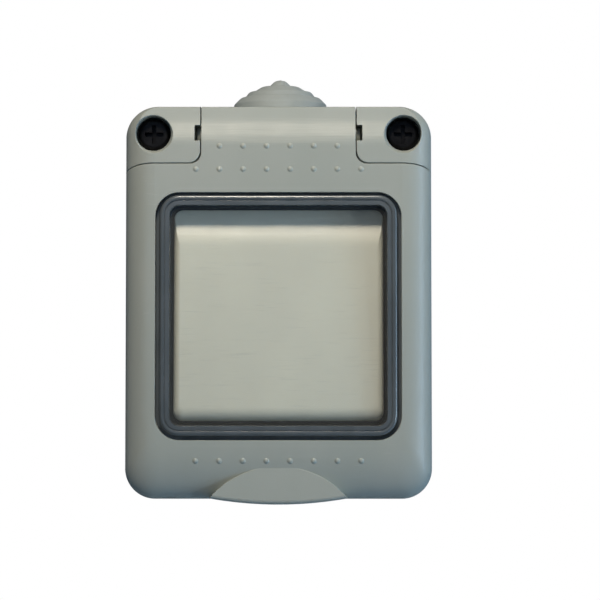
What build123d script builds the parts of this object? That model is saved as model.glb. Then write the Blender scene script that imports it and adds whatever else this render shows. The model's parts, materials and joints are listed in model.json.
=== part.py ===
from build123d import *
import math
import os

# Weatherproof bell push for a wall: a back box, a front frame that carries the push
# mechanism, and a lid that hinges at the top and holds a clear membrane over the rocker.
#
# Every piece is drawn as it is seen from the front: X to the right, Y up the wall, and Z
# out of the wall, which is at Z = 0. The export turns the drawing upright, so in the
# files +Z is up, the front faces -Y and the wall is the plane Y = 0. Millimetres.

# Cover: the outline that the front frame and the closed lid share
cover_w = 66.0
cover_h = 84.5
top_corner_r = 6.8
bottom_corner_r = 6.5
flat_corner_r = 2.5      # corners of the flat that the rounded borders leave
side_run = 6.5           # rounded border at the sides, seen from the front
top_run = 1.2            # small, so that the ears clear the lid's corners as it opens
low_run = 11.25          # the lower border slopes back further
crown_d = 5.0            # how far the borders fall back
crown_steps = 6
roll_run = 7.6           # cover's top to where the front starts to roll back over the hinge
roll_top = 3.4           # cover's top to where the roll eases
roll_fall = 1.0
roll_lean = 6.0          # degrees, above the roll
roll_round = 10.0
corner_share = 0.9       # an inset takes this share of itself off a corner's radius

# Depths of the three layers
box_d = 31.0
joint_gap = 0.3          # box rim to frame, closed by the gasket
frame_d = 8.7
lid_gap = 0.2            # frame rim to lid
lid_d = 10.0

frame_back = box_d + joint_gap
rim_z = frame_back + frame_d
lid_back = rim_z + lid_gap
front_z = rim_z + lid_d

# Back box
box_inset = 1.0          # box outline inside the cover outline
box_draft = 1.0          # the box is this much narrower on each side at the wall
box_wall = 2.2
box_floor = 2.4
wall_hole_r = 2.1
wall_hole_dx = 40.0
wall_hole_dy = 60.0
wall_seat_r = 4.5
wall_seat_h = 1.2
knockout_r = 10.0
knockout_groove = 0.6
knockout_depth = 1.0
rear_knockout_y = 14.0

# Cable entry and its stepped rubber gland
entry_r = 9.6
entry_boss_r = 13.6
entry_rim = 0.4          # entry boss to the rim of the box
entry_wall = 3.2
gland_flange_r = 12.4
gland_flange_t = 1.6
gland_inner_r = 11.2
gland_inner_t = 1.4
gland_body_h = 3.2
gland_steps = (          # radius at the foot, radius at the top, height
    (10.6, 9.1, 1.5),
    (8.2, 7.2, 1.36),
    (6.3, 4.3, 1.26),
    (2.6, 2.3, 1.66),
)
gland_round = 0.55
gland_tip_round = 1.3
gland_wall = 1.3
gland_fit = 0.1
entry_z = box_d - entry_boss_r - entry_rim

# Gasket between the box and the frame
gasket_edge = 0.3        # box outline to the gasket
gasket_w = 1.6
gasket_groove = 1.0
gasket_fit = 0.05

# Front frame
frame_wall = 4.4
tray_wall = 2.4
tray_d = 1.5
plate_t = 2.0
collar_t = 1.2           # collar of the support frame, round the rocker
collar_fit = 0.15
plate_front = rim_z - tray_d
plate_back = plate_front - plate_t

# Screws that hold the frame to the box
screw_dx = 6.1           # screw centre to the cover's side
screw_dy = 6.0           # screw centre to the cover's top and bottom
screw_r = 1.75
screw_fit = 0.05         # shank in the box boss
screw_clear = 0.2        # shank in the frame
head_r = 3.5
head_t = 2.5
head_round = 0.9
recess_w = 0.9
recess_len = 4.0
recess_d = 1.5
screw_len = 22.0
head_well_r = 3.8
well_bevel = 0.6
well_bevel_h = 1.4
top_seat_d = 6.5         # front of the ear to the screw's seat
low_seat_d = 1.1         # frame plate to the screw's seat
boss_r = 3.8
boss_spare = 2.4         # hole below the screw's tip
frame_boss_r = 4.4

# Hinge between the ears of the frame and the neck of the lid
hinge_drop = 6.0         # hinge axis to the cover's top
hinge_setback = 5.0      # hinge axis to the lid's flat front
neck_w = 33.1
seam_gap = 0.25
ear_drop = 12.4
ear_corner_r = 2.6
lid_corner_r = 2.4       # smaller, so that the lid's corner clears the ear as it opens
seam_slope = 24.0        # degrees; the seam drops towards the wall to let the lid swing
stub_r = 1.6
stub_len = 1.0
stub_fit = 0.1
socket_w = 1.2
lug_r = 3.6
lug_w = 4.0
trough_gap = 0.2
trough_wall = 2.0
lid_open = 110.0
stop_w = 20.0            # rib on the frame that the neck meets when the lid is open
stop_t = 2.0
stop_gap = 0.2
stop_over = 1.9          # rib's top in front of the corner that meets it

hinge_y = cover_h / 2 - hinge_drop
hinge_z = front_z - hinge_setback
ear_x = neck_w / 2 + seam_gap
ear_y = cover_h / 2 - ear_drop
swing_r = math.hypot(hinge_drop, max(hinge_setback, hinge_z - lid_back))
trough_r = swing_r + trough_gap

# Window of the lid, its membrane and the ring that holds it
lid_wall = 2.0
window_w = 52.7
window_top = 18.8        # cover's top to the window
window_low = 12.7        # cover's lower edge to the window
window_r = 5.2
window_round = 0.8
round_steps = 4
rim_gap = 0.95           # edge of the window to the membrane's rim
rim_w = 2.2
rim_proud = 0.4
bead_w = 1.05            # inner bead of the rim, up to the groove
rim_groove_w = 0.3
rim_groove_d = 0.25
rim_round = 0.5
flange_lap = 1.65
flange_t = 1.2
panel_t = 0.8
panel_setback = 0.7
retainer_t = 1.8
retainer_gap = 0.5       # retainer to the collar
holder_t = 1.2
holder_fit = 0.05
clip_w = 4.0
clip_t = 0.6
clip_lap = 0.5
collar_gap = 0.3         # collar to the back of the membrane

window_h = cover_h - window_top - window_low
window_y = (window_low - window_top) / 2
flange_back = front_z - lid_wall - flange_t
panel_back = front_z - panel_setback - panel_t
retainer_back = flange_back - retainer_t
opening_w = window_w - 2 * (rim_gap + rim_w)
opening_h = window_h - 2 * (rim_gap + rim_w)
opening_r = window_r - rim_gap - rim_w
collar_top = flange_back - collar_gap

# Finger tab and raised dots of the lid
tab_r = 19.5
tab_top = 7.15           # top of the tab above the cover's lower edge
tab_bulge = 0.95         # how far the tab stands out below the cover
tab_bulge_r = 84.0
tab_setback = 0.45
tab_lean = 6.0           # degrees; its lower edge stands out for a fingertip
tab_round = 0.8
dot_r = 0.6
dot_h = 0.25
dot_pitch = 5.05
neck_dot_count = 6
row_dot_count = 8
neck_dots_down = 8.85    # cover's top to the row on the neck
upper_dots_down = 13.85
lower_dots_up = 8.4      # cover's lower edge to the lowest row
dot_rows = (
    (neck_dot_count, cover_h / 2 - neck_dots_down),
    (row_dot_count, cover_h / 2 - upper_dots_down),
    (row_dot_count, -cover_h / 2 + lower_dots_up),
)

# Latch of the lid
tongue_w = 12.0
tongue_t = 1.2
tongue_gap = 0.7         # tongue to the wall of the frame's tray
tongue_end = 0.4         # tongue to the frame's plate
tongue_nib = 0.4
latch_nib = 0.15
nib_h = 0.4
nib_root = 0.5           # nib sunk in the frame's wall

# Rocker, drawn square to the wall and then tilted about its pivot
rocker_side_gap = 0.55
rocker_end_gap = 0.55
rocker_corner_r = 2.0
rocker_flat_r = 1.2
rocker_wall = 1.8
rocker_top_run = 1.0
rocker_side_run = 1.5
rocker_low_run = 2.8
rocker_crown_d = 2.4
rocker_slope_run = 6.9   # top of the rocker that slopes back
rocker_slope = 14.0      # degrees
rocker_slope_round = 12.0
rocker_skirt = 0.5       # the skirt ends this far in front of the pivot
rocker_clear = 0.3       # rocker to the membrane
rocker_rib_t = 1.2
rocker_rib_h = 1.6
rest_tilt = 2.5          # degrees, lower end out
pivot_h = 3.0
pivot_r = 1.5
pivot_fit = 0.08
pivot_len = 2.1
lug_plate_t = 2.0
lug_end_r = 2.4
post_t = 2.1
post_r = 2.6
post_gap = 0.3
peg_r = 2.0
peg_drop = 1.4           # tip of the peg behind the pivot

rocker_w = opening_w - 2 * rocker_side_gap
rocker_h = opening_h - 2 * rocker_end_gap
pivot_z = plate_back + pivot_h
rocker_rise = panel_back - rocker_clear - pivot_z - rocker_h / 2 * math.sin(math.radians(rest_tilt))

# Support frame that carries the mechanism behind the front frame
support_side = 7.6       # cover's side to the support frame
support_end = 12.35      # cover's top and bottom, less the window's offset, to the support frame
support_r = 3.0
support_t = 1.8
support_screw_edge = 3.0 # screws to the upper and lower edge
support_screw_r = 1.45
support_screw_fit = 0.05
support_screw_clear = 0.2
support_head_r = 2.6
support_head_t = 1.6
support_screw_grip = 4.8
support_recess_w = 0.7
support_recess_len = 2.8
support_boss_r = 2.6
support_boss_h = 4.0
support_w = cover_w - 2 * support_side
support_h = cover_h - 2 * support_end
support_screw_dy = support_h / 2 - support_screw_edge
support_back = plate_back - support_t

# Push mechanism
mech_w = 38.0
mech_end = 3.35          # opening's upper and lower edge to the mechanism
mech_r = 1.5
mech_wall = 1.8
mech_front_t = 2.0
mech_d = 16.3
hook_w = 8.0
hook_t = 1.4
hook_barb = 0.6
hook_h = 1.2
hook_fit = 0.05
hook_side_fit = 0.2
base_t = 2.2
base_wall = 1.6
base_wall_d = 5.2
base_lip_h = 1.0
base_lip_t = 1.2
base_lip_fit = 0.1
wire_notch_w = 4.4
plunger_r = 2.5
plunger_fit = 0.05
plunger_clear = 0.6      # plunger in the support frame
plunger_bevel = 0.3
plunger_gap = 0.05       # peg of the rocker to the plunger
carrier_r = 4.5
carrier_t = 2.65
carrier_gap = 0.05
guide_r = 1.4
guide_len = 6.0
stud_h = 2.6
bridge_len = 14.0
bridge_w = 5.0
bridge_t = 0.8
bridge_fit = 0.05
rivet_r = 1.3
rivet_h = 0.65
rivet_dx = 5.6
contact_gap = 0.05       # left between the contacts when the rocker is pressed
strip_t = 0.8
strip_w = 5.0
strip_inner_x = 3.9
strip_outer_x = 15.5
strip_fit = 0.1
spring_wire_r = 0.25
spring_r = 2.2
spring_turns = 6
terminal_x = 11.4
terminal_in = 3.6        # terminal plate, inward of the screw
terminal_screw_r = 1.5
terminal_screw_fit = 0.05
terminal_head_r = 2.7
terminal_head_t = 2.0
terminal_bevel = 0.3
terminal_slot_w = 0.7
terminal_slot_d = 0.9
clamp_w = 6.0
clamp_t = 1.1
clamp_lip_t = 0.8
wire_gap = 2.1
terminal_tip = 1.6       # screw through the strip into the base

mech_h = opening_h - 2 * mech_end
peg_arm = mech_h / 4     # pivot to the peg and plunger
plunger_y = window_y - peg_arm
plunger_travel = 2 * peg_arm * math.sin(math.radians(rest_tilt))
base_front = support_back - mech_d
base_back = base_front - base_t
inside_front = support_back - mech_front_t
plunger_top = pivot_z + peg_arm * math.sin(math.radians(rest_tilt)) - peg_drop - plunger_gap
carrier_top = inside_front - carrier_gap
bridge_top = carrier_top - carrier_t
bridge_back = bridge_top - bridge_t
strip_top = bridge_back - 2 * rivet_h - plunger_travel - contact_gap
clamp_front = base_back - strip_t - wire_gap

screw_x = cover_w / 2 - screw_dx
screw_y = cover_h / 2 - screw_dy


def slab(sketch, z0, z1):
    """Extrude a sketch between two distances from the wall."""
    return Pos(0, 0, z0) * extrude(sketch, z1 - z0)


def outline(side, top, bottom, r_top, r_bottom, w=cover_w, h=cover_h):
    """Rounded rectangle, moved in from w x h by a margin at the sides, top and bottom."""
    face = Pos(0, (bottom - top) / 2) * Rectangle(w - 2 * side, h - top - bottom)
    face = fillet(face.vertices().group_by(Axis.Y)[-1], r_top)
    return fillet(face.vertices().group_by(Axis.Y)[0], r_bottom)


def cover_outline(inset):
    """The cover's outline, moved in all round."""
    return outline(inset, inset, inset, top_corner_r - inset * corner_share,
                   bottom_corner_r - inset * corner_share)


def ring(w, h, r, t, z0, z1):
    """Rounded ring round the window's centre; w, h and r are inside, t is the wall."""
    outer = RectangleRounded(w + 2 * t, h + 2 * t, r + t)
    return Pos(0, window_y, 0) * slab(outer - RectangleRounded(w, h, r), z0, z1)


def block(w, h, r, z0, z1):
    """Rounded block on the window's centre."""
    return Pos(0, window_y, 0) * slab(RectangleRounded(w, h, r), z0, z1)


def pillow(w, h, inset, z0, z1, depth, runs, radii, flat_r):
    """A block whose front borders fall back along quarter ellipses.

    runs are the widths of the borders at the sides, top and bottom, and depth is how far
    each falls back. radii are the top and bottom corners of the outline at full size.
    """
    side, top, low = runs
    r_top, r_low = radii
    shoulder = z1 - depth
    sections = []
    for k in range(crown_steps + 1):
        angle = math.radians(90 * k / crown_steps)
        spread = math.cos(angle)
        section = outline(
            inset + side * (1 - spread),
            inset + top * (1 - spread),
            inset + low * (1 - spread),
            flat_r + (r_top - flat_r) * spread,
            flat_r + (r_low - flat_r) * spread,
            w,
            h,
        )
        sections.append(Pos(0, 0, shoulder + depth * math.sin(angle)) * section)
    base = slab(outline(inset, inset, inset, r_top, r_low, w, h), z0, shoulder)
    return base + loft(sections)


def side_outline(points):
    """Closed outline seen from the side, of (height, distance from the wall) points."""
    return make_face(Polyline(points, close=True))


def eased(outline_face, corners, radius):
    """The outline with these corners rounded."""
    here = [v for v in outline_face.vertices() for p in corners if math.dist((v.X, v.Y), p) < radius / 100]
    return fillet(here, radius)


def run_across(outline_face, width):
    """Solid that keeps one side outline over a width."""
    return extrude(Plane.YZ * outline_face, width / 2, both=True)


def cover_roll(inset):
    """Side outline of the cover, whose front rolls back over the hinge."""
    top = cover_h / 2
    front = front_z - inset
    start = (top - roll_run, front)
    ease = (top - roll_top, front - roll_fall)
    beyond = front - roll_fall - (roll_top + roll_run) * math.tan(math.radians(roll_lean))
    points = [(-cover_h, 0), (-cover_h, front), start, ease, (top + roll_run, beyond), (top + roll_run, 0)]
    return run_across(eased(side_outline(points), (start, ease), roll_round), cover_w)


def cover_form(inset, z0):
    """The outer form of the frame and lid together, which is then parted along the seams."""
    runs = (side_run, top_run, low_run)
    radii = (top_corner_r - inset * corner_share, bottom_corner_r - inset * corner_share)
    form = pillow(cover_w, cover_h, inset, z0, front_z - inset, crown_d, runs, radii, flat_corner_r)
    return form & cover_roll(inset)


def border_z(up, run):
    """Height of the cover's front at a distance from an edge whose border has this run."""
    if up >= run:
        return front_z
    spread = 1 - up / run
    return front_z - crown_d + crown_d * math.sqrt(1 - spread * spread)


def ear_zones(grow, corner_r):
    """The two corners that stay with the frame, grown to leave a gap or a wall."""
    slope = math.radians(seam_slope)
    x0 = ear_x - grow
    y0 = ear_y - grow / math.cos(slope)
    ahead = 2.0
    depth = ahead + lid_d + tray_d
    face = Rectangle(cover_w, cover_h, align=(Align.MIN, Align.MIN))
    face = fillet(face.vertices().sort_by(Axis.X)[:2].sort_by(Axis.Y)[0], corner_r)
    start = Pos(x0, y0 + ahead * math.tan(slope), front_z + ahead) * face
    zone = extrude(start, depth / math.cos(slope), dir=(0, -math.sin(slope), -math.cos(slope)))
    return zone + mirror(zone, about=Plane.YZ)


def across(radius, length, y=hinge_y, z=hinge_z, x=0.0):
    """Round bar along X, centred on x."""
    return Pos(x, y, z) * Cylinder(radius, length, rotation=(0, 90, 0))


def upward(radius, y0, y1, x, z):
    """Round bar along Y between two heights."""
    return Pos(x, (y0 + y1) / 2, z) * Cylinder(radius, y1 - y0, rotation=(90, 0, 0))


def outward(radius, z0, z1, x, y):
    """Round bar along Z between two distances from the wall."""
    return Pos(x, y, (z0 + z1) / 2) * Cylinder(radius, z1 - z0)


def box_between(x0, x1, y0, y1, z0, z1):
    """Square block between two corners."""
    return Pos((x0 + x1) / 2, (y0 + y1) / 2, (z0 + z1) / 2) * Box(x1 - x0, y1 - y0, z1 - z0)


def screw_seats():
    """Centre and seat of each frame screw: name, x, y and the seat's distance from the wall."""
    return (
        ("top_left", -screw_x, screw_y, front_z - top_seat_d),
        ("top_right", screw_x, screw_y, front_z - top_seat_d),
        ("bottom_left", -screw_x, -screw_y, plate_front - low_seat_d),
        ("bottom_right", screw_x, -screw_y, plate_front - low_seat_d),
    )


def box_outline(z, inset=0.0):
    """Outline of the box at a distance from the wall, with its draft."""
    return cover_outline(box_inset + box_draft * (1 - z / box_d) + inset)


def back_box():
    """Open box that is screwed to the wall and holds the wiring."""
    outer = loft([Pos(0, 0, z) * box_outline(z) for z in (0, box_d)])
    hollow = loft([Pos(0, 0, z) * box_outline(z, box_wall) for z in (box_floor, box_d)])
    box = outer - hollow

    for name, x, y, seat in screw_seats():
        box += outward(boss_r, box_floor / 2, box_d, x, y) & outer
    for x, y in ((sx * wall_hole_dx / 2, sy * wall_hole_dy / 2) for sx in (-1, 1) for sy in (-1, 1)):
        box += outward(wall_seat_r, box_floor / 2, box_floor + wall_seat_h, x, y)
        box -= outward(wall_hole_r, 0, box_floor + wall_seat_h, x, y)

    entry_y = cover_h / 2 - box_inset
    box += upward(entry_boss_r, entry_y - entry_wall, entry_y, 0, entry_z)
    box -= upward(entry_r, entry_y - entry_wall - box_wall, entry_y, 0, entry_z)

    for name, x, y, seat in screw_seats():
        box -= outward(screw_r + screw_fit, seat - screw_len - boss_spare, box_d, x, y)

    # Thin rings that let a round of wall be broken out, below and behind
    low_y = -cover_h / 2 + box_inset + box_draft
    below = upward(knockout_r, low_y - box_draft, low_y - box_draft / 2 + knockout_depth, 0, entry_z)
    below -= upward(knockout_r - knockout_groove, low_y - box_draft, low_y + knockout_depth, 0, entry_z)
    behind = outward(knockout_r, 0, knockout_depth, 0, rear_knockout_y)
    behind -= outward(knockout_r - knockout_groove, 0, knockout_depth, 0, rear_knockout_y)
    return box - below - behind


def cable_gland():
    """Stepped rubber cone that snaps into the entry; its tip is cut to suit the cable."""
    seat = cover_h / 2 - box_inset
    inside = seat - entry_wall
    top = seat + gland_flange_t + gland_body_h
    neck_r = entry_r - gland_fit
    points = [
        (0, inside - gland_inner_t),
        (gland_inner_r, inside - gland_inner_t),
        (gland_inner_r, inside),
        (neck_r, inside),
        (neck_r, seat),
        (gland_flange_r, seat),
        (gland_flange_r, seat + gland_flange_t),
        (gland_steps[0][0], seat + gland_flange_t),
    ]
    shoulders = []
    tip_r = gland_steps[-1][1]
    for foot_r, top_r, height in gland_steps:
        points += [(foot_r, top), (top_r, top + height)]
        top += height
        shoulders.append((round(top_r, 3), round(top, 3)))
    points += [(0, top)]
    profile = make_face(Polyline(points, close=True))
    corners = profile.vertices().filter_by(lambda v: (round(v.X, 3), round(v.Y, 3)) in shoulders)
    profile = fillet(corners.filter_by(lambda v: v.Y < top - gland_round), gland_round)
    tip = profile.vertices().filter_by(lambda v: v.Y > top - gland_round and v.X > tip_r / 2)
    profile = fillet(tip, gland_tip_round)

    roof = seat + gland_flange_t + gland_body_h - gland_wall / 2
    hollow = [
        (0, inside - gland_inner_t),
        (neck_r - gland_wall, inside - gland_inner_t),
        (neck_r - gland_wall, roof),
    ]
    for foot_r, top_r, height in gland_steps[:-1]:
        hollow += [(foot_r - gland_wall, roof), (top_r - gland_wall, roof + height)]
        roof += height
    hollow += [(0, roof)]
    cavity = make_face(Polyline(hollow, close=True))
    return Pos(0, 0, entry_z) * revolve(profile - cavity, Axis.Y)


def box_gasket():
    """Flat rubber seal on the rim of the box."""
    face = cover_outline(box_inset + gasket_edge) - cover_outline(box_inset + gasket_edge + gasket_w)
    return slab(face, box_d, frame_back + gasket_groove)


def front_frame():
    """Moulded frame with the two ears, the hinge trough and the opening for the rocker."""
    form = cover_form(0, frame_back)
    ears = ear_zones(0, ear_corner_r)
    body = (form & slab(cover_outline(0), frame_back, rim_z)) + (form & ears)

    tray = slab(cover_outline(tray_wall), plate_front, rim_z) - ears
    body -= tray
    body -= slab(cover_outline(frame_wall), frame_back, plate_back)

    # The trough lets the top of the lid's neck turn inwards as the lid opens
    shell = across(trough_r + trough_wall, 2 * ear_x) & slab(cover_outline(0), frame_back, rim_z)
    body += shell
    body -= across(trough_r, 2 * ear_x)
    corner_r = math.hypot(hinge_drop, hinge_z - lid_back)
    corner_angle = math.atan2(hinge_z - lid_back, hinge_drop) + math.radians(lid_open)
    stop_y = hinge_y + corner_r * math.cos(corner_angle) - stop_gap
    stop_z = hinge_z - corner_r * math.sin(corner_angle) + stop_over
    body += box_between(-stop_w / 2, stop_w / 2, stop_y - stop_t, stop_y,
                        plate_front - plate_t / 2, stop_z)

    for name, x, y, seat in screw_seats():
        body += outward(frame_boss_r, frame_back, plate_front, x, y)
    for side in (-1, 1):
        y = window_y + side * support_screw_dy
        body += outward(support_boss_r, plate_back, plate_front + support_boss_h, 0, y)

    around = 2 * (collar_t + collar_fit)
    body -= block(opening_w + around, opening_h + around, opening_r + around / 2, plate_back, collar_top)
    body &= form

    groove = cover_outline(box_inset + gasket_edge - gasket_fit)
    groove -= cover_outline(box_inset + gasket_edge + gasket_w + gasket_fit)
    body -= slab(groove, frame_back, frame_back + gasket_groove)

    for name, x, y, seat in screw_seats():
        body -= outward(screw_r + screw_clear, frame_back, seat, x, y)
        body -= outward(head_well_r, seat, front_z, x, y)
    for side in (-1, 1):
        x = side * screw_x
        body -= Pos(x, screw_y, front_z - well_bevel_h / 2) * Cone(
            head_well_r, head_well_r + well_bevel, well_bevel_h)
        y = window_y + side * support_screw_dy
        pilot = support_screw_r + support_screw_fit
        body -= outward(pilot, plate_back, plate_back + support_screw_grip + support_screw_fit, 0, y)

        # Slot in the ear that takes the stub of the lid
        slot_r = stub_r + stub_fit
        x = side * (ear_x + socket_w / 2)
        body -= across(slot_r, socket_w, x=x)
        body -= box_between(x - socket_w / 2, x + socket_w / 2, hinge_y - slot_r, hinge_y + slot_r,
                            hinge_z, front_z)

    tray_y = -cover_h / 2 + tray_wall
    body += box_between(-tongue_w / 2, tongue_w / 2, tray_y - nib_root, tray_y + latch_nib,
                        rim_z - nib_h, rim_z)
    return body


def frame_screw(x, y, seat):
    """Pan-head screw with a cross recess, head on its seat."""
    head = outward(head_r, seat, seat + head_t, x, y)
    head = fillet(head.edges().group_by(Axis.Z)[-1], head_round)
    screw = head + outward(screw_r, seat - screw_len, seat, x, y)
    screw = chamfer(screw.edges().group_by(Axis.Z)[0], screw_r / 2)
    top = seat + head_t
    for w, h in ((recess_len, recess_w), (recess_w, recess_len)):
        screw -= Pos(x, y, top - recess_d / 2) * Box(w, h, recess_d)
    return screw


def tab_face():
    """Lens-shaped outline of the finger tab."""
    edge = -cover_h / 2
    upper = Pos(0, edge + tab_top - tab_r) * Circle(tab_r)
    lower = Pos(0, edge - tab_bulge + tab_bulge_r) * Circle(tab_bulge_r)
    return upper & lower


def finger_tab():
    """Tab on the lid's lower edge: its face leans out, and its lower edge is rounded."""
    foot = -cover_h / 2 - tab_bulge
    height = tab_top + tab_bulge
    front = front_z - tab_setback
    face_out = front + height * math.tan(math.radians(tab_lean))
    points = [(foot, lid_back), (foot, face_out), (foot + height, front), (foot + height, lid_back)]
    tab = slab(tab_face(), lid_back, face_out) & run_across(side_outline(points), cover_w)
    low_edges = [e for e in tab.edges() if (e @ 0.5).Z > front_z - tab_setback - tab_round
                 and (e @ 0.5).Y < foot + tab_bulge]
    return fillet(low_edges, tab_round)


def lid():
    """Hinged lid: a shell with a neck between the ears, a window, a latch and a finger tab."""
    outer = cover_form(0, lid_back)
    hollow = cover_form(lid_wall, lid_back) - ear_zones(seam_gap + lid_wall, lid_corner_r + lid_wall)
    body = outer - hollow

    # Hinge: a lug with a stub at each end of the neck
    for side in (-1, 1):
        body += across(lug_r, lug_w, x=side * (neck_w - lug_w) / 2)

    # Holder for the membrane and its retainer
    lap_w = window_w + 2 * flange_lap + 2 * holder_fit
    lap_h = window_h + 2 * flange_lap + 2 * holder_fit
    lap_r = window_r + flange_lap
    body += ring(lap_w, lap_h, lap_r, holder_t, retainer_back - clip_t, front_z - lid_wall / 2)
    body -= block(lap_w, lap_h, lap_r, retainer_back - clip_t, front_z - lid_wall)
    for turn in (-1, 1):
        for x in (-lap_w / 4, lap_w / 4):
            y = turn * lap_h / 2
            body += Pos(x, window_y + y, retainer_back - clip_t / 2) * Box(clip_w, 2 * clip_lap, clip_t)
        x = turn * lap_w / 2
        body += Pos(x, window_y, retainer_back - clip_t / 2) * Box(2 * clip_lap, clip_w, clip_t)

    body -= block(window_w, window_h, window_r, flange_back, front_z)
    flare = []
    for k in range(round_steps + 1):
        angle = math.radians(90 * k / round_steps)
        grow = window_round * (1 - math.cos(angle))
        mouth = RectangleRounded(window_w + 2 * grow, window_h + 2 * grow, window_r + grow)
        flare.append(Pos(0, window_y, front_z - window_round * (1 - math.sin(angle))) * mouth)
    body -= loft(flare)

    # Latch tongue behind the lower edge
    tray_y = -cover_h / 2 + tray_wall
    tongue_y = tray_y + tongue_gap
    tip = plate_front + tongue_end
    half = tongue_w / 2
    body += box_between(-half, half, -cover_h / 2 + lid_wall / 2, tongue_y + tongue_t,
                        lid_back + lid_gap, front_z - crown_d)
    body += box_between(-half, half, tongue_y, tongue_y + tongue_t, tip, front_z - crown_d)
    body += box_between(-half, half, tongue_y - tongue_nib, tongue_y + tongue_t, tip, tip + nib_h)

    body += finger_tab()

    body -= ear_zones(seam_gap, lid_corner_r)
    for side in (-1, 1):
        body += across(stub_r, stub_len + lid_wall / 2, x=side * (neck_w + stub_len - lid_wall / 2) / 2)

    dome_r = (dot_r ** 2 + dot_h ** 2) / (2 * dot_h)
    for count, y in dot_rows:
        z = border_z(y + cover_h / 2, low_run) + dot_h - dome_r
        for k in range(count):
            body += Pos((k - (count - 1) / 2) * dot_pitch, y, z) * Sphere(dome_r)
    return body


def window_membrane():
    """Clear soft membrane: flange behind the lid, beaded rim in the window, thin panel."""
    flange = block(window_w + 2 * flange_lap, window_h + 2 * flange_lap, window_r + flange_lap,
                   flange_back, flange_back + flange_t)
    rim_r = opening_r + rim_w
    rim = block(opening_w + 2 * rim_w, opening_h + 2 * rim_w, rim_r, flange_back, front_z + rim_proud)
    rim = fillet(rim.edges().group_by(Axis.Z)[-1], rim_round)
    top = front_z + rim_proud
    rim -= ring(opening_w + 2 * bead_w, opening_h + 2 * bead_w, opening_r + bead_w, rim_groove_w,
                top - rim_groove_d, top)
    body = flange + rim
    body -= block(opening_w, opening_h, opening_r, front_z - panel_setback, front_z + rim_proud)
    body -= block(opening_w, opening_h, opening_r, flange_back, panel_back)
    return body


def membrane_retainer():
    """Ring that clips in behind the flange of the membrane."""
    gap = collar_t + retainer_gap
    inner_w = opening_w + 2 * gap
    inner_h = opening_h + 2 * gap
    outer_w = window_w + 2 * flange_lap
    outer_h = window_h + 2 * flange_lap
    outer = RectangleRounded(outer_w, outer_h, window_r + flange_lap)
    inner = RectangleRounded(inner_w, inner_h, opening_r + gap)
    return Pos(0, window_y, 0) * slab(outer - inner, retainer_back, flange_back)


def rocker_side(rise):
    """Side outline of the rocker, whose top slopes back."""
    start = (rocker_h / 2 - rocker_slope_run, rise)
    beyond = rise - 2 * rocker_slope_run * math.tan(math.radians(rocker_slope))
    end_y = rocker_h / 2 + rocker_slope_run
    points = [(-rocker_h, 0), (-rocker_h, rise), start, (end_y, beyond), (end_y, 0)]
    return run_across(eased(side_outline(points), (start,), rocker_slope_round), rocker_w)


def rocker():
    """Large push plate: a hollow plate with pivot lugs and a peg, tilted to its rest."""
    runs = (rocker_side_run, rocker_top_run, rocker_low_run)
    radii = (rocker_corner_r, rocker_corner_r)
    inner_radii = (rocker_flat_r, rocker_flat_r)
    outer = pillow(rocker_w, rocker_h, 0, rocker_skirt, rocker_rise, rocker_crown_d, runs, radii,
                   rocker_flat_r) & rocker_side(rocker_rise)
    roof = rocker_rise - rocker_wall
    hollow = pillow(rocker_w, rocker_h, rocker_wall, rocker_skirt, roof, rocker_crown_d - rocker_wall / 2,
                    runs, inner_radii, rocker_flat_r / 2) & rocker_side(roof)
    body = outer - hollow

    lug_x = rocker_w / 2 - rocker_wall - post_gap - post_t - post_gap - lug_plate_t / 2
    for side in (-1, 1):
        x = side * lug_x
        lug = across(lug_end_r, lug_plate_t, 0, 0, x)
        lug += box_between(x - lug_plate_t / 2, x + lug_plate_t / 2, -lug_end_r, lug_end_r, 0,
                           roof + rocker_wall / 2)
        body += lug
        body += across(pivot_r, pivot_len + lug_plate_t / 2, 0, 0,
                       side * (lug_x + lug_plate_t / 4 + pivot_len / 2))
    for y in (-rocker_h / 4, rocker_h / 4):
        body += box_between(-lug_x, lug_x, y - rocker_rib_t / 2, y + rocker_rib_t / 2,
                            roof - rocker_rib_h, roof + rocker_wall / 2)

    peg = outward(peg_r, peg_r - peg_drop, roof + rocker_wall / 2, 0, -peg_arm)
    body += peg + Pos(0, -peg_arm, peg_r - peg_drop) * Sphere(peg_r)
    return Pos(0, window_y, pivot_z) * Rot(-rest_tilt, 0, 0) * body


def support_frame():
    """Plate behind the frame with a collar round the rocker; carries the pivots and mechanism."""
    body = block(support_w, support_h, support_r, support_back, plate_back)
    body += ring(opening_w, opening_h, opening_r, collar_t, support_back, collar_top)
    post_x = rocker_w / 2 - rocker_wall - post_gap - post_t / 2
    for side in (-1, 1):
        x = side * post_x
        post = across(post_r, post_t, window_y, pivot_z, x)
        post += box_between(x - post_t / 2, x + post_t / 2, window_y - post_r, window_y + post_r,
                            plate_back - support_t / 2, pivot_z)
        body += post
        body -= across(pivot_r + pivot_fit, post_t, window_y, pivot_z, x)
        y = window_y + side * support_screw_dy
        body -= outward(support_screw_r + support_screw_clear, support_back, plate_back, 0, y)
        y = window_y + side * (mech_h / 2 - hook_t / 2 - mech_wall / 2)
        slot_h = hook_t + 2 * hook_fit
        slot_w = hook_w + 2 * hook_side_fit
        body -= box_between(-slot_w / 2, slot_w / 2, y - slot_h / 2, y + slot_h / 2,
                            support_back, plate_back)
    body -= outward(plunger_r + plunger_clear, support_back, plate_back, 0, plunger_y)
    return body


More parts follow.
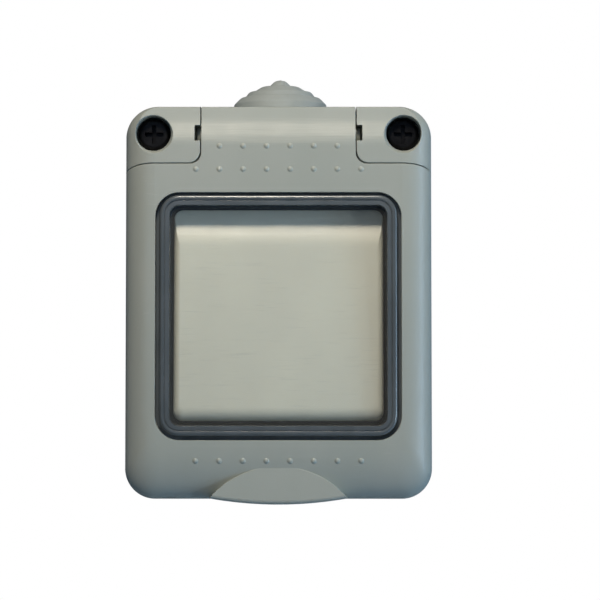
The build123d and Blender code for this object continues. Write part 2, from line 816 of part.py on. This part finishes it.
def support_screws():
    """Two screws from behind that hold the support frame."""
    screws = []
    for side in (-1, 1):
        y = window_y + side * support_screw_dy
        head = outward(support_head_r, support_back - support_head_t, support_back, 0, y)
        head = fillet(head.edges().group_by(Axis.Z)[0], support_head_t / 3)
        screw = head + outward(support_screw_r, support_back, plate_back + support_screw_grip, 0, y)
        z = support_back - support_head_t + support_recess_w / 2
        for w, h in ((support_recess_len, support_recess_w), (support_recess_w, support_recess_len)):
            screw -= Pos(0, y, z) * Box(w, h, support_recess_w)
        screws.append(screw)
    return Compound(children=screws)


def mechanism_body():
    """Front half of the mechanism's housing, with the hooks that hold it to the support."""
    body = block(mech_w, mech_h, mech_r, base_front, support_back)
    body -= block(mech_w - 2 * mech_wall, mech_h - 2 * mech_wall, mech_r / 2, base_front, inside_front)
    for side in (-1, 1):
        y = window_y + side * (mech_h / 2 - hook_t / 2 - mech_wall / 2)
        outer = y + side * hook_t / 2
        top = plate_back + hook_fit + hook_h
        body += box_between(-hook_w / 2, hook_w / 2, y - hook_t / 2, y + hook_t / 2,
                            support_back - mech_front_t / 2, top)
        barb = sorted((outer - side * hook_t / 2, outer + side * hook_barb))
        body += box_between(-hook_w / 2, hook_w / 2, barb[0], barb[1], plate_back + hook_fit, top)
    body -= outward(plunger_r + plunger_fit, inside_front, support_back, 0, plunger_y)
    return body


def mechanism_base():
    """Rear half of the housing: carries the contacts, and walls in the terminals."""
    body = block(mech_w, mech_h, mech_r, base_back, base_front)
    inner_w = mech_w - 2 * mech_wall - 2 * base_lip_fit - 2 * base_lip_t
    inner_h = mech_h - 2 * mech_wall - 2 * base_lip_fit - 2 * base_lip_t
    body += ring(inner_w, inner_h, mech_r / 4, base_lip_t, base_front, base_front + base_lip_h)
    wall_w = mech_w - 2 * base_wall
    wall_h = mech_h - 2 * base_wall
    body += ring(wall_w, wall_h, mech_r / 2, base_wall, base_back - base_wall_d, base_back)
    body += box_between(-base_wall / 2, base_wall / 2, window_y - wall_h / 2 - base_wall / 2,
                        window_y + wall_h / 2 + base_wall / 2, base_back - base_wall_d, base_back)
    body += outward(guide_r, base_front, base_front + stud_h, 0, plunger_y)
    for side in (-1, 1):
        x = side * terminal_x
        y = window_y + mech_h / 2
        body -= box_between(x - wire_notch_w / 2, x + wire_notch_w / 2, y - 2 * base_wall, y,
                            base_back - base_wall_d, base_back - strip_t)
        body -= outward(terminal_screw_r + screw_clear, base_back, base_back + terminal_tip + screw_clear,
                        x, plunger_y)
        x = side * (strip_outer_x - strip_t / 2)
        w = strip_t / 2 + strip_fit
        body -= box_between(x - w, x + w, plunger_y - strip_w / 2 - strip_fit,
                            plunger_y + strip_w / 2 + strip_fit, base_back, base_front)
    return body


def plunger():
    """Stem that the rocker's peg pushes, with the carrier for the contact bridge."""
    body = outward(plunger_r, bridge_top, plunger_top, 0, plunger_y)
    body = chamfer(body.edges().group_by(Axis.Z)[-1], plunger_bevel)
    body += outward(carrier_r, bridge_top, carrier_top, 0, plunger_y)
    body += outward(guide_r, bridge_top - guide_len, bridge_top, 0, plunger_y)
    return body


def contact_bridge():
    """Strip with a silver rivet at each end, carried by the plunger."""
    strip = SlotOverall(bridge_len + bridge_w / 2, bridge_w)
    body = Pos(0, plunger_y, 0) * slab(strip, bridge_back, bridge_top)
    for side in (-1, 1):
        body += outward(rivet_r, bridge_back - rivet_h, bridge_back, side * rivet_dx, plunger_y)
    return body - outward(guide_r + bridge_fit, bridge_back, bridge_top, 0, plunger_y)


def fixed_contact(side):
    """Folded strip from a rivet under the bridge to its terminal on the back of the base."""
    bottom = base_back - strip_t
    inner_x = terminal_x - terminal_in
    path = Polyline(
        (strip_inner_x, strip_top),
        (strip_outer_x, strip_top),
        (strip_outer_x, bottom),
        (inner_x, bottom),
        (inner_x, base_back),
        (strip_outer_x - strip_t, base_back),
        (strip_outer_x - strip_t, strip_top - strip_t),
        (strip_inner_x, strip_top - strip_t),
        close=True,
    )
    strip = extrude(Plane.XZ * make_face(path), strip_w / 2, both=True)
    body = Pos(0, plunger_y, 0) * strip
    body += outward(rivet_r, strip_top, strip_top + rivet_h, rivet_dx, plunger_y)
    body -= outward(terminal_screw_r + terminal_screw_fit, bottom, base_back, terminal_x, plunger_y)
    return body if side > 0 else mirror(body, about=Plane.YZ)


def terminal_clamp(side):
    """Saddle that the terminal screw pulls down on the wire."""
    x = side * terminal_x
    back = clamp_front - clamp_t
    half = clamp_w / 2
    body = box_between(x - half, x + half, plunger_y - strip_w / 2, plunger_y + strip_w / 2,
                       back, clamp_front)
    for lip in (-1, 1):
        edge = sorted((x + lip * half, x + lip * (half - clamp_lip_t)))
        body += box_between(edge[0], edge[1], plunger_y - strip_w / 2, plunger_y + strip_w / 2,
                            clamp_front, base_back - strip_t)
    return body - outward(terminal_screw_r + screw_clear, back, clamp_front, x, plunger_y)


def terminal_screw(side):
    """Slotted screw, reached from the back."""
    x = side * terminal_x
    back = clamp_front - clamp_t
    body = outward(terminal_head_r, back - terminal_head_t, back, x, plunger_y)
    body = chamfer(body.edges().group_by(Axis.Z)[0], terminal_bevel)
    body += outward(terminal_screw_r, back, base_back + terminal_tip, x, plunger_y)
    slot = Pos(x, plunger_y, back - terminal_head_t + terminal_slot_d / 2)
    return body - slot * Box(2 * terminal_head_r, terminal_slot_w, terminal_slot_d)


def return_spring():
    """Compression spring between the base and the contact bridge."""
    low = base_front + spring_wire_r
    height = bridge_back - base_front - 2 * spring_wire_r
    helix = Pos(0, plunger_y, low) * Helix(height / spring_turns, height, spring_r)
    wire = Plane(origin=helix @ 0, z_dir=helix % 0) * Circle(spring_wire_r)
    return sweep(wire, path=helix)


pieces = {
    "back_box": back_box(),
    "cable_gland": cable_gland(),
    "box_gasket": box_gasket(),
    "front_frame": front_frame(),
    "lid": lid(),
    "window_membrane": window_membrane(),
    "membrane_retainer": membrane_retainer(),
    "rocker": rocker(),
    "support_frame": support_frame(),
    "support_screws": support_screws(),
    "mechanism_body": mechanism_body(),
    "mechanism_base": mechanism_base(),
    "plunger": plunger(),
    "contact_bridge": contact_bridge(),
    "return_spring": return_spring(),
}
for name, x, y, seat in screw_seats():
    pieces["frame_screw_" + name] = frame_screw(x, y, seat)
for name, side in (("left", -1), ("right", 1)):
    pieces["fixed_contact_" + name] = fixed_contact(side)
    pieces["terminal_clamp_" + name] = terminal_clamp(side)
    pieces["terminal_screw_" + name] = terminal_screw(side)

os.makedirs("parts", exist_ok=True)
for name, piece in pieces.items():
    export_step(Plane.XZ.location * piece, "parts/" + name + ".step")
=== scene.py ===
"""Weatherproof bell push: finishes, soft parts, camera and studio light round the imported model.

The cover is moulded grey ASA, the push plate behind the clear soft membrane is a paler
moulding, and the cable gland on top is a stepped cone of soft rubber. Metres, with +Z up
and the front towards -Y. Shapes and finishes are worked out in millimetres.
"""

import json
import math

import bmesh
import bpy
import numpy as np
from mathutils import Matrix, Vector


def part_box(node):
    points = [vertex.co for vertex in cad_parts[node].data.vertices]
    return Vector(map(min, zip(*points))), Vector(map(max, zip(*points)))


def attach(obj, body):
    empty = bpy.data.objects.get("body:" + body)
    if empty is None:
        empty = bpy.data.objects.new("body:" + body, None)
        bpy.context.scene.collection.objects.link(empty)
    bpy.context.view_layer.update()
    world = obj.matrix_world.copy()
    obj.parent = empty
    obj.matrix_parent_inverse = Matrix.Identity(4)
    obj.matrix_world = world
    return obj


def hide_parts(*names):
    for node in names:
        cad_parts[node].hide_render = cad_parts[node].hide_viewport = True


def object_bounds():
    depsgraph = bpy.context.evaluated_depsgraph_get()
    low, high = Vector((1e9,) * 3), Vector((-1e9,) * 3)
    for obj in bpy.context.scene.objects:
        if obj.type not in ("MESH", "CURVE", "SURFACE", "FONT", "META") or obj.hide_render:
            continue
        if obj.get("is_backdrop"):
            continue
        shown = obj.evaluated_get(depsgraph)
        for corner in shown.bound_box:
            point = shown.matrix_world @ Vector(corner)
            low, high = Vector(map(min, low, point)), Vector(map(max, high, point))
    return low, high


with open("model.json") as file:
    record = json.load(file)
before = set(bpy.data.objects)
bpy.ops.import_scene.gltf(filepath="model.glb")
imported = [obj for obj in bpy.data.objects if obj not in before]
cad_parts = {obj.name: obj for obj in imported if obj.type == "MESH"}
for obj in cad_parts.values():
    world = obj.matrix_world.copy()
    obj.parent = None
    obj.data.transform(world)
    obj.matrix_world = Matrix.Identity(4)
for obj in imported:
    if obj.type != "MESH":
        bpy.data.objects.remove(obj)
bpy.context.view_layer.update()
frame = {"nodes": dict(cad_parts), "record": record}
nodes = frame["nodes"]
slot_of = {part["node"]: part["material_slot"] for part in frame["record"]["subparts"]}
MM = 0.001


# ---------------------------------------------------------------- materials

PLASTIC_IOR, RUBBER_IOR, VINYL_IOR = 1.52, 1.5, 1.53
BEVEL_SAMPLES = 6


def linear(hex_colour):
    """sRGB hex to the linear colour, with full alpha, that the shader takes."""
    value = np.array([int(hex_colour[i:i + 2], 16) for i in (0, 2, 4)]) / 255
    value = np.where(value <= 0.04045, value / 12.92, ((value + 0.055) / 1.055) ** 2.4)
    return (*value.tolist(), 1.0)


def fill(tree, node, inputs):
    """Set a node's inputs, each from a value or from the socket that feeds it."""
    for key, value in inputs.items():
        if isinstance(value, bpy.types.NodeSocket):
            tree.links.new(value, node.inputs[key])
        else:
            node.inputs[key].default_value = value


def add(tree, kind, inputs=None, **settings):
    """One node with its settings and inputs."""
    made = tree.nodes.new(kind)
    for key, value in settings.items():
        setattr(made, key, value)
    fill(tree, made, inputs or {})
    return made


def shader_of(name):
    """A new material: its node tree, its shader and the object coordinates in millimetres."""
    material = bpy.data.materials.new(name)
    material.use_nodes = True
    tree = material.node_tree
    tree.nodes.clear()
    shader = add(tree, "ShaderNodeBsdfPrincipled")
    add(tree, "ShaderNodeOutputMaterial", {"Surface": shader.outputs["BSDF"]})
    place = add(tree, "ShaderNodeTexCoord").outputs["Object"]
    scaled = add(tree, "ShaderNodeMapping", {"Vector": place, "Scale": (1 / MM, 1 / MM, 1 / MM)})
    return material, tree, shader, scaled.outputs["Vector"]


def cloud(tree, place, size_mm, detail, stretch=None):
    """Noise whose patches are about size_mm across, stretched along an axis if wanted."""
    if stretch:
        mapping = add(tree, "ShaderNodeMapping", {"Vector": place, "Scale": stretch})
        place = mapping.outputs["Vector"]
    inputs = {"Vector": place, "Scale": 1 / size_mm, "Detail": detail}
    return add(tree, "ShaderNodeTexNoise", inputs).outputs["Fac"]


def between(tree, factor, low, high, out_low=0.0, out_high=1.0):
    """Factor spread from low..high onto out_low..out_high, clamped."""
    inputs = {"Value": factor, "From Min": low, "From Max": high,
              "To Min": out_low, "To Max": out_high}
    return add(tree, "ShaderNodeMapRange", inputs).outputs["Result"]


def patchy(tree, noise, out_low, out_high):
    """Noise as a value, such as a roughness, that wanders from out_low to out_high."""
    return between(tree, noise, 0.3, 0.7, out_low, out_high)


def product(tree, first, second):
    """Two factors multiplied."""
    return add(tree, "ShaderNodeMath", {0: first, 1: second}, operation="MULTIPLY").outputs[0]


def blended(tree, factor, first, second):
    """Two colours mixed by a factor. The first is a hex value or a socket, the second hex."""
    one = first if isinstance(first, bpy.types.NodeSocket) else linear(first)
    inputs = {0: factor, 6: one, 7: linear(second)}
    return add(tree, "ShaderNodeMix", inputs, data_type="RGBA").outputs[2]


def clouded(tree, noise, pale, deep, full=0.65):
    """Colour that noise turns from pale to deep; it is all deep where noise reaches full."""
    return blended(tree, between(tree, noise, 0.35, full), pale, deep)


def relief(tree, height, strength, depth_mm, normal=None):
    """Normal bent by a height field, on top of another normal if there is one."""
    inputs = {"Height": height, "Strength": strength, "Distance": depth_mm * MM}
    if normal is not None:
        inputs["Normal"] = normal
    return add(tree, "ShaderNodeBump", inputs).outputs["Normal"]


def moulded(name, pale, deep, roughness, grain_mm, grain, edge_mm=0.2, scuff=0.5, coat=0.0,
            lined=None):
    """Injection-moulded plastic: faint flow clouding, a fine sparked grain, edges that
    the tool left rounded, and short scratches rubbed paler in patches of wear. lined is a band
    of heights in which fine flow lines run across."""
    material, tree, shader, place = shader_of(name)
    bevel = add(tree, "ShaderNodeBevel", {"Radius": edge_mm * MM}, samples=BEVEL_SAMPLES)
    colour = clouded(tree, cloud(tree, place, 14, 3, (1, 1, 0.55)), pale, deep)

    # Short fine scratches, lying both ways, only where the cloud of wear is thick
    marks = between(tree, cloud(tree, place, 0.5, 1, (0.12, 1, 1.6)), 0.64, 0.72)
    worn = between(tree, cloud(tree, place, 9, 2), 0.5, 0.7)
    rubbed = between(tree, product(tree, marks, worn), 0, 1, 0, 0.22 * scuff)
    colour = blended(tree, rubbed, colour, "d2d3cc")

    sparks = cloud(tree, place, grain_mm, 2)
    normal = relief(tree, sparks, grain, 0.02, bevel.outputs["Normal"])
    if lined:
        low_z, high_z = lined
        fade_mm = 1.5
        lines = cloud(tree, place, 0.45, 2, (0.04, 1, 1))
        height = add(tree, "ShaderNodeSeparateXYZ", {0: place}).outputs["Z"]
        band = product(tree, between(tree, height, low_z, low_z + fade_mm),
                       between(tree, height, high_z, high_z + fade_mm, 1, 0))
        normal = relief(tree, product(tree, lines, band), 0.5, 0.06, normal)
    fill(tree, shader, {
        "Base Color": colour,
        "Roughness": patchy(tree, cloud(tree, place, 3.5, 4), roughness - 0.05, roughness + 0.05),
        "Normal": normal, "IOR": PLASTIC_IOR, "Coat Weight": coat, "Coat Roughness": 0.15,
    })
    return material


def rubber(name, pale, deep, roughness, grain_mm, grain):
    """Soft moulded rubber: matt, faintly dusty on what faces up, with a close pebbled grain."""
    material, tree, shader, place = shader_of(name)
    cast = cloud(tree, place, 5, 4)
    facing = add(tree, "ShaderNodeNewGeometry").outputs["Normal"]
    up = add(tree, "ShaderNodeSeparateXYZ", {0: facing}).outputs["Z"]
    dust = between(tree, up, 0.3, 1.0, 0.0, 0.25)
    fill(tree, shader, {
        "Base Color": blended(tree, dust, clouded(tree, cast, pale, deep), "b9bcb6"),
        "Roughness": patchy(tree, cast, roughness - 0.06, roughness + 0.06),
        "Normal": relief(tree, cloud(tree, place, grain_mm, 3), grain, 0.03),
        "IOR": RUBBER_IOR,
    })
    return material


def vinyl_rim(name):
    """Soft clear PVC drawn opaque and smoke grey for the dark retainer and painted shade seen
    through it, with the gloss of a polished tool.
    """
    material, tree, shader, place = shader_of(name)
    haze = cloud(tree, place, 6, 3, (1, 1, 0.5))
    fill(tree, shader, {
        # Painted shade: the grey stands partly for the shade inside the window, seen through the
        # clear rim
        "Base Color": clouded(tree, haze, "5c6163", "505557"),
        "Roughness": patchy(tree, cloud(tree, place, 2, 3), 0.2, 0.26),
        "IOR": VINYL_IOR, "Coat Weight": 1.0, "Coat Roughness": 0.26,
    })
    return material


def vinyl_panel(name):
    """The same PVC where it is thin: clear, with a soft gloss and a few fine hairlines."""
    material, tree, shader, place = shader_of(name)
    lines = cloud(tree, place, 0.4, 1, (0.08, 1, 1.3))
    fill(tree, shader, {
        "Base Color": linear("dfe3df"),
        "Alpha": between(tree, lines, 0.66, 0.74, 0.03, 0.08),
        "Roughness": patchy(tree, cloud(tree, place, 7, 3), 0.1, 0.17),
        "Normal": relief(tree, cloud(tree, place, 11, 2), 0.3, 0.08),
        "IOR": VINYL_IOR,
    })
    return material


def worked_metal(name, pale, deep, roughness, stroke_mm, stretch=None):
    """Metal as it left the press, lathe or die: fine strokes one way, dulled in patches."""
    material, tree, shader, place = shader_of(name)
    strokes = cloud(tree, place, stroke_mm, 3, stretch)
    fill(tree, shader, {
        "Base Color": clouded(tree, cloud(tree, place, 2.5, 3), pale, deep, 0.7),
        "Roughness": patchy(tree, strokes, roughness - 0.08, roughness + 0.1),
        "Normal": relief(tree, strokes, 0.3, 0.01),
        "Metallic": 1.0,
    })
    return material


finish = {
    "grey_moulding": moulded("asa_grey_moulding", "b0b3aa", "abafa6", 0.44, 0.35, 0.25,
                             coat=0.12, lined=(33, 39)),
    "gland_rubber": rubber("gland_rubber_grey", "b0b7b5", "a7aeac", 0.55, 0.3, 0.35),
    "seal_rubber": rubber("seal_rubber_black", "1a1a1b", "141415", 0.6, 0.25, 0.4),
    "clear_membrane": vinyl_rim("pvc_rim_grey_painted_shade"),
    "rocker_plastic": moulded("abs_push_plate", "dcdac7", "d6d4c2", 0.36, 0.3, 0.2, 0.25, 0.4),
    # Painted shade: the parts behind the push plate are drawn black so that the gaps round it
    # read as deep shadow
    "dark_plastic": moulded("nylon_black_painted_shade", "1d1e1f", "17181a", 0.48, 0.3, 0.5, 0.15, 0.2),
    "pale_plastic": moulded("nylon_natural", "cfccbf", "c6c3b5", 0.45, 0.3, 0.4, 0.15, 0.3),
    "black_screw": worked_metal("steel_blacked", "2b2b2d", "1f1f21", 0.42, 0.3),
    "zinc_screw": worked_metal("steel_zinc_plated", "c3c4c2", "aeb0af", 0.3, 0.3, (1, 0.2, 1)),
    "brass": worked_metal("brass_stamped", "d8b36a", "c09a55", 0.32, 0.25, (0.15, 1, 1)),
    "spring_steel": worked_metal("steel_drawn_wire", "b5b6b6", "9fa1a2", 0.28, 0.2),
}
clear_panel = vinyl_panel("pvc_thin_clear")


def dress(thing, material):
    """Give an object one material."""
    thing.data.materials.clear()
    thing.data.materials.append(material)


for name, thing in nodes.items():
    dress(thing, finish[slot_of[name]])


# ------------------------------------------------------------------- shapes

def surface(name, grid, close_rows=False, ends=False):
    """Mesh over a grid of points (rows, columns, 3) in millimetres. Its columns close on
    themselves, its rows may, and ends merges points that meet at a pole."""
    rows, columns = grid.shape[:2]
    index = np.arange(rows * columns).reshape(rows, columns)
    index = np.concatenate([index, index[:, :1]], axis=1)
    if close_rows:
        index = np.concatenate([index, index[:1]], axis=0)
    quads = np.stack([index[:-1, :-1], index[:-1, 1:], index[1:, 1:], index[1:, :-1]], axis=-1)
    mesh = bpy.data.meshes.new(name)
    mesh.from_pydata((grid.reshape(-1, 3) * MM).tolist(), [], quads.reshape(-1, 4).tolist())
    work = bmesh.new()
    work.from_mesh(mesh)
    if ends:
        bmesh.ops.remove_doubles(work, verts=work.verts, dist=1e-7)
    bmesh.ops.recalc_face_normals(work, faces=work.faces)
    work.to_mesh(mesh)
    work.free()
    mesh.shade_smooth()
    thing = bpy.data.objects.new(name, mesh)
    bpy.context.scene.collection.objects.link(thing)
    return thing


def rounded(corners, steps):
    """Closed profile from corners (x, y, softness), each turned into an arc-like curve.

    Each corner B between A and C becomes the quadratic (1-t)^2 P + 2t(1-t) B + t^2 Q, where
    P and Q lie on its two sides, softness away from B or at most 0.45 of the side.
    """
    table = np.array(corners, dtype=float)
    here, reach = table[:, :2], table[:, 2:]
    back = np.roll(here, 1, axis=0) - here
    on = np.roll(here, -1, axis=0) - here
    back_len = np.linalg.norm(back, axis=1, keepdims=True)
    on_len = np.linalg.norm(on, axis=1, keepdims=True)
    p = here + back / back_len * np.minimum(reach, back_len * 0.45)
    q = here + on / on_len * np.minimum(reach, on_len * 0.45)
    t = np.linspace(0, 1, steps)[None, :, None]
    curve = (1 - t) ** 2 * p[:, None] + 2 * t * (1 - t) * here[:, None] + t ** 2 * q[:, None]
    return curve.reshape(-1, 2)


def window_loop(width, height, radius, corner_steps=14, side_steps=26):
    """Samples once round a rounded rectangle: the corner centre or side point each hangs on,
    and the outward direction there, so that centre + (radius + d) * direction is the line
    at a distance d outside it."""
    centres, directions = [], []
    half_w, half_h = width / 2 - radius, height / 2 - radius
    corners = ((half_w, half_h, 0), (-half_w, half_h, 90),
               (-half_w, -half_h, 180), (half_w, -half_h, 270))
    for k, (x, z, start) in enumerate(corners):
        angle = np.radians(start + np.linspace(0, 90, corner_steps))
        directions.append(np.stack([np.cos(angle), np.sin(angle)], axis=1))
        centres.append(np.repeat([[x, z]], corner_steps, axis=0))
        next_x, next_z = corners[(k + 1) % 4][:2]
        share = np.linspace(0, 1, side_steps + 2)[1:-1, None]
        centres.append((1 - share) * [[x, z]] + share * [[next_x, next_z]])
        directions.append(np.repeat(directions[-1][-1:], side_steps, axis=0))
    return np.concatenate(centres), np.concatenate(directions)


# The clear membrane: a soft moulding whose thick rim stands in the window of the lid. The
# rim's profile, as (distance outside the clear opening, height out of the wall, softness),
# has a flat inner bead, a narrow groove, an outer bead with a round crest, and a flange.
low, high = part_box("window_membrane")
rim_top = -low[1] / MM
flange_back = -high[1] / MM
flange_top = flange_back + 1.2
raised_top = 0.3                     # the clear opening's top above the solid's
middle_z = (low[2] + high[2]) / 2 / MM + raised_top / 2
clear_w, clear_h, clear_r = 46.4, 46.7 + raised_top, 2.05
panel_front, panel_back = rim_top - 1.1, rim_top - 1.9
rim_in, rim_out, flange_out = 0.12, 2.25, 4.4
inner_top, groove_floor = rim_top - 0.15, rim_top - 0.3
groove = 1.0, 1.05, 1.2, 1.25        # edge, floor, floor, edge
crest_r = 0.62
crest_turns = np.linspace(0, np.pi / 2, 9)
crest = [(rim_out - crest_r * (1 - np.sin(a)), rim_top + 0.02 - crest_r * (1 - np.cos(a)), 0.05)
         for a in crest_turns]
rim_profile = rounded([
    (rim_in, panel_front - 0.4, 0.02), (rim_in, inner_top, 0.02),
    (groove[0], inner_top, 0.03), (groove[1], groove_floor, 0.03),
    (groove[2], groove_floor, 0.03), (groove[3], rim_top - 0.02, 0.03), *crest,
    (rim_out, flange_top, 0.3), (flange_out, flange_top, 0.3),
    (flange_out, flange_back, 0.3), (rim_in, flange_back, 0.3),
], 9)
centres, directions = window_loop(clear_w, clear_h, clear_r)
flat = centres[None] + (clear_r + rim_profile[:, None, :1]) * directions[None]
out = np.broadcast_to(rim_profile[:, None, 1:], flat.shape[:2] + (1,))
rim_grid = np.concatenate([flat[..., :1], -out, flat[..., 1:] + middle_z], axis=-1)
membrane_rim = surface("membrane_rim", rim_grid, close_rows=True)

# Its thin panel: rings that shrink from the rim to the middle, front and back. Over the flat
# front lie a moulded hinge line near the edge, hinge_deep exp(-((inward - hinge_in) /
# hinge_half)^2) into it, the slight lift that the push plate has worked into it,
# lift_mm (1 - share^4), and a faint wave.
hinge_deep, hinge_in, hinge_half = 0.16, 1.0, 0.45
lift_mm, wave_mm = 0.12, 0.02
edge_line = centres + (clear_r + rim_in) * directions
share = np.concatenate([[1.0], 1 - np.linspace(0.004, 0.12, 12), np.linspace(0.84, 0.0, 22)])
flat = share[:, None, None] * edge_line[None]
inward = (1 - share)[:, None] * clear_w / 2
hinge_line = -hinge_deep * np.exp(-((inward - hinge_in) / hinge_half) ** 2)
lift = lift_mm * (1 - share[:, None] ** 4)
wave = wave_mm * np.sin(flat[..., 0] / 4.1 + 0.6) * np.sin(flat[..., 1] / 5.3)
front = panel_front + hinge_line + lift + wave * (1 - share[:, None] ** 6)
sheet_front = np.stack([flat[..., 0], -front, flat[..., 1] + middle_z], axis=-1)
sheet_back = sheet_front.copy()
sheet_back[..., 1] += panel_front - panel_back
membrane_panel = surface("membrane_panel", np.concatenate([sheet_front[::-1], sheet_back]),
                         ends=True)

for piece, material in ((membrane_rim, finish["clear_membrane"]), (membrane_panel, clear_panel)):
    dress(piece, material)
    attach(piece, "lid_assembly")
    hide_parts("window_membrane")


# The cable gland: a stepped cone, its profile (radius, height, softness) turned about its own
# axis. A skirt inside the box, a waist in the wall and a collar outside hold it, and each step
# of the cone ends in a narrow groove at the foot of the next.
low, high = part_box("cable_gland")
gland_y = (low[1] + high[1]) / 2 / MM
gland_low, gland_top = low[2] / MM, high[2] / MM
bore_r, skirt_r, waist_r, collar_r, body_r = 8.2, 11.2, 9.5, 12.4, 10.8
skirt_top = gland_low + 1.4
collar_t, body_h = 1.6, 3.2
tiers = (                      # foot radius, top radius, height
    (10.6, 9.1, 1.5), (8.2, 7.2, 1.36), (6.3, 4.3, 1.26), (2.6, 2.3, 1.66),
)
foot_z = gland_top - sum(height for foot_r, top_r, height in tiers)
seat = foot_z - body_h - collar_t
profile = [
    (bore_r, gland_low, 0.3), (skirt_r, gland_low, 0.3), (skirt_r, skirt_top, 0.3),
    (waist_r, skirt_top, 0.2), (waist_r, seat, 0.2), (collar_r, seat, 0.4),
    (collar_r, seat + collar_t, 0.5), (body_r, seat + collar_t, 0.3),
]
for foot_r, top_r, height in tiers[:-1]:
    profile += [(foot_r, foot_z, 0.25), (top_r, foot_z + height, 0.6)]
    foot_z += height
    profile += [(top_r - 0.3, foot_z - 0.05, 0.15), (top_r - 0.5, foot_z - 0.3, 0.15)]
profile += [                   # the domed tip, then the inside, back down to the skirt
    (2.75, foot_z - 0.1, 0.25), (2.3, foot_z + 0.4, 0.3), (1.75, foot_z + 0.95, 0.4),
    (1.1, gland_top - 0.2, 0.5), (0.0, gland_top, 0.01),
    (0.0, gland_top - 1.2, 0.01), (3.6, gland_top - 3.2, 0.4), (6.2, gland_top - 4.8, 0.4),
    (bore_r, gland_top - 6.2, 0.4), (bore_r, gland_low + 1.0, 0.3),
]
turned = rounded(profile, 6)
turned[:, 0] = np.maximum(turned[:, 0], 0)
angle = np.linspace(0, 2 * np.pi, 96, endpoint=False)
gland_grid = np.stack([
    turned[:, :1] * np.cos(angle)[None],
    gland_y + turned[:, :1] * np.sin(angle)[None],
    np.broadcast_to(turned[:, 1:], (len(turned), len(angle))),
], axis=-1)
gland = surface("gland_cone", gland_grid, close_rows=True, ends=True)
dress(gland, finish["gland_rubber"])
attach(gland, "housing")
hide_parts("cable_gland")


# -------------------------------------------------------------------- stage

def stage_material(name, lit, shown, share):
    """Matt card; to the camera, and through the clear panel, a share of it is bright paper."""
    material = bpy.data.materials.new(name)
    material.use_nodes = True
    tree = material.node_tree
    tree.nodes.clear()
    card = add(tree, "ShaderNodeBsdfDiffuse", {"Color": linear(lit)})
    paper = add(tree, "ShaderNodeEmission", {"Color": linear(shown), "Strength": 1.0})
    path = add(tree, "ShaderNodeLightPath").outputs
    seen = add(tree, "ShaderNodeMath", {0: path["Is Camera Ray"], 1: path["Is Transmission Ray"]},
               operation="MAXIMUM")
    part = product(tree, seen.outputs[0], share)
    mix = add(tree, "ShaderNodeMixShader", {0: part, 1: card.outputs[0], 2: paper.outputs[0]})
    add(tree, "ShaderNodeOutputMaterial", {"Surface": mix.outputs[0]})
    return material


FLOOR_Z, FLOOR_HALF = -0.32, 1.6
corners = [(x * FLOOR_HALF, y * FLOOR_HALF, FLOOR_Z)
           for x, y in ((-1, -1), (1, -1), (1, 1), (-1, 1))]
mesh = bpy.data.meshes.new("floor")
mesh.from_pydata(corners, [], [(0, 1, 2, 3)])
thing = bpy.data.objects.new("floor", mesh)
bpy.context.scene.collection.objects.link(thing)
dress(thing, stage_material("card_floor", "c0ccd8", "ffffff", 0.7))
thing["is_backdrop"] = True


# ------------------------------------------------------------------- camera

DISTANCE = 0.450              # camera to the flat front of the lid
FRONT_Y = -0.050
SENSOR_MM = 36.0
VIEW_WIDTH = 0.1281           # width of the picture at the lid's front
TILT_UP, TURN_LEFT = 2.6, 0.174    # degrees
camera = bpy.data.cameras.new("camera")
eye = bpy.data.objects.new("camera", camera)
bpy.context.scene.collection.objects.link(eye)
bpy.context.scene.camera = eye
camera.sensor_width = SENSOR_MM
camera.lens = SENSOR_MM * DISTANCE / VIEW_WIDTH
eye.location = (0.006, FRONT_Y - DISTANCE, -0.012)
eye.rotation_euler = (math.radians(90 + TILT_UP), 0.0, math.radians(TURN_LEFT))
camera.shift_y = -0.063
camera.clip_start, camera.clip_end = 0.01, 10.0


# -------------------------------------------------------------------- light

def lamp(name, place, aim, size, watts, colour):
    """Soft box: a rectangular area light of size (width, height) at place, turned to aim."""
    light = bpy.data.lights.new(name, "AREA")
    light.shape = "RECTANGLE"
    light.size, light.size_y = size
    light.energy = watts
    light.color = linear(colour)[:3]
    thing = bpy.data.objects.new(name, light)
    bpy.context.scene.collection.objects.link(thing)
    thing.location = place
    x, y, z = np.array(aim) - np.array(place)
    thing.rotation_euler = (math.atan2(math.hypot(x, y), -z), 0.0,
                            math.atan2(y, x) - math.pi / 2)


lamp("key_above", (-0.018, -0.29, 0.25), (0, -0.05, 0.01), (0.055, 0.055), 0.67, "fff4e2")
lamp("strip_above", (0.03, -0.24, 0.285), (0, -0.05, 0.01), (0.15, 0.022), 0.17, "fffaf2")
lamp("fill_back", (0.35, 0.9, 0.3), (0, 0, 0), (0.6, 0.6), 0.5, "eef2f4")
lamp("fill_right", (0.60, -0.27, -0.03), (0, -0.05, 0), (0.16, 0.5), 1.55, "b8deff")
lamp("window_low", (0.43, -0.35, -0.085), (0.03, -0.05, -0.02), (0.035, 0.03), 0.3, "d8ecff")
lamp("fill_front", (-0.2, -0.9, 0.29), (0, -0.05, 0), (0.7, 0.7), 0.66, "c8dcf4")

# The room is dim and blue for the model, and white paper to the camera
world = bpy.data.worlds.new("studio")
bpy.context.scene.world = world
world.use_nodes = True
tree = world.node_tree
tree.nodes.clear()
room = add(tree, "ShaderNodeBackground", {"Color": linear("8fb0d0"), "Strength": 0.11})
paper = add(tree, "ShaderNodeBackground", {"Color": linear("ffffff"), "Strength": 1.0})
camera_ray = add(tree, "ShaderNodeLightPath").outputs["Is Camera Ray"]
mix = add(tree, "ShaderNodeMixShader", {0: camera_ray, 1: room.outputs[0], 2: paper.outputs[0]})
add(tree, "ShaderNodeOutputWorld", {"Surface": mix.outputs[0]})

bpy.context.scene.view_settings.view_transform = "Standard"

low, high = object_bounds()
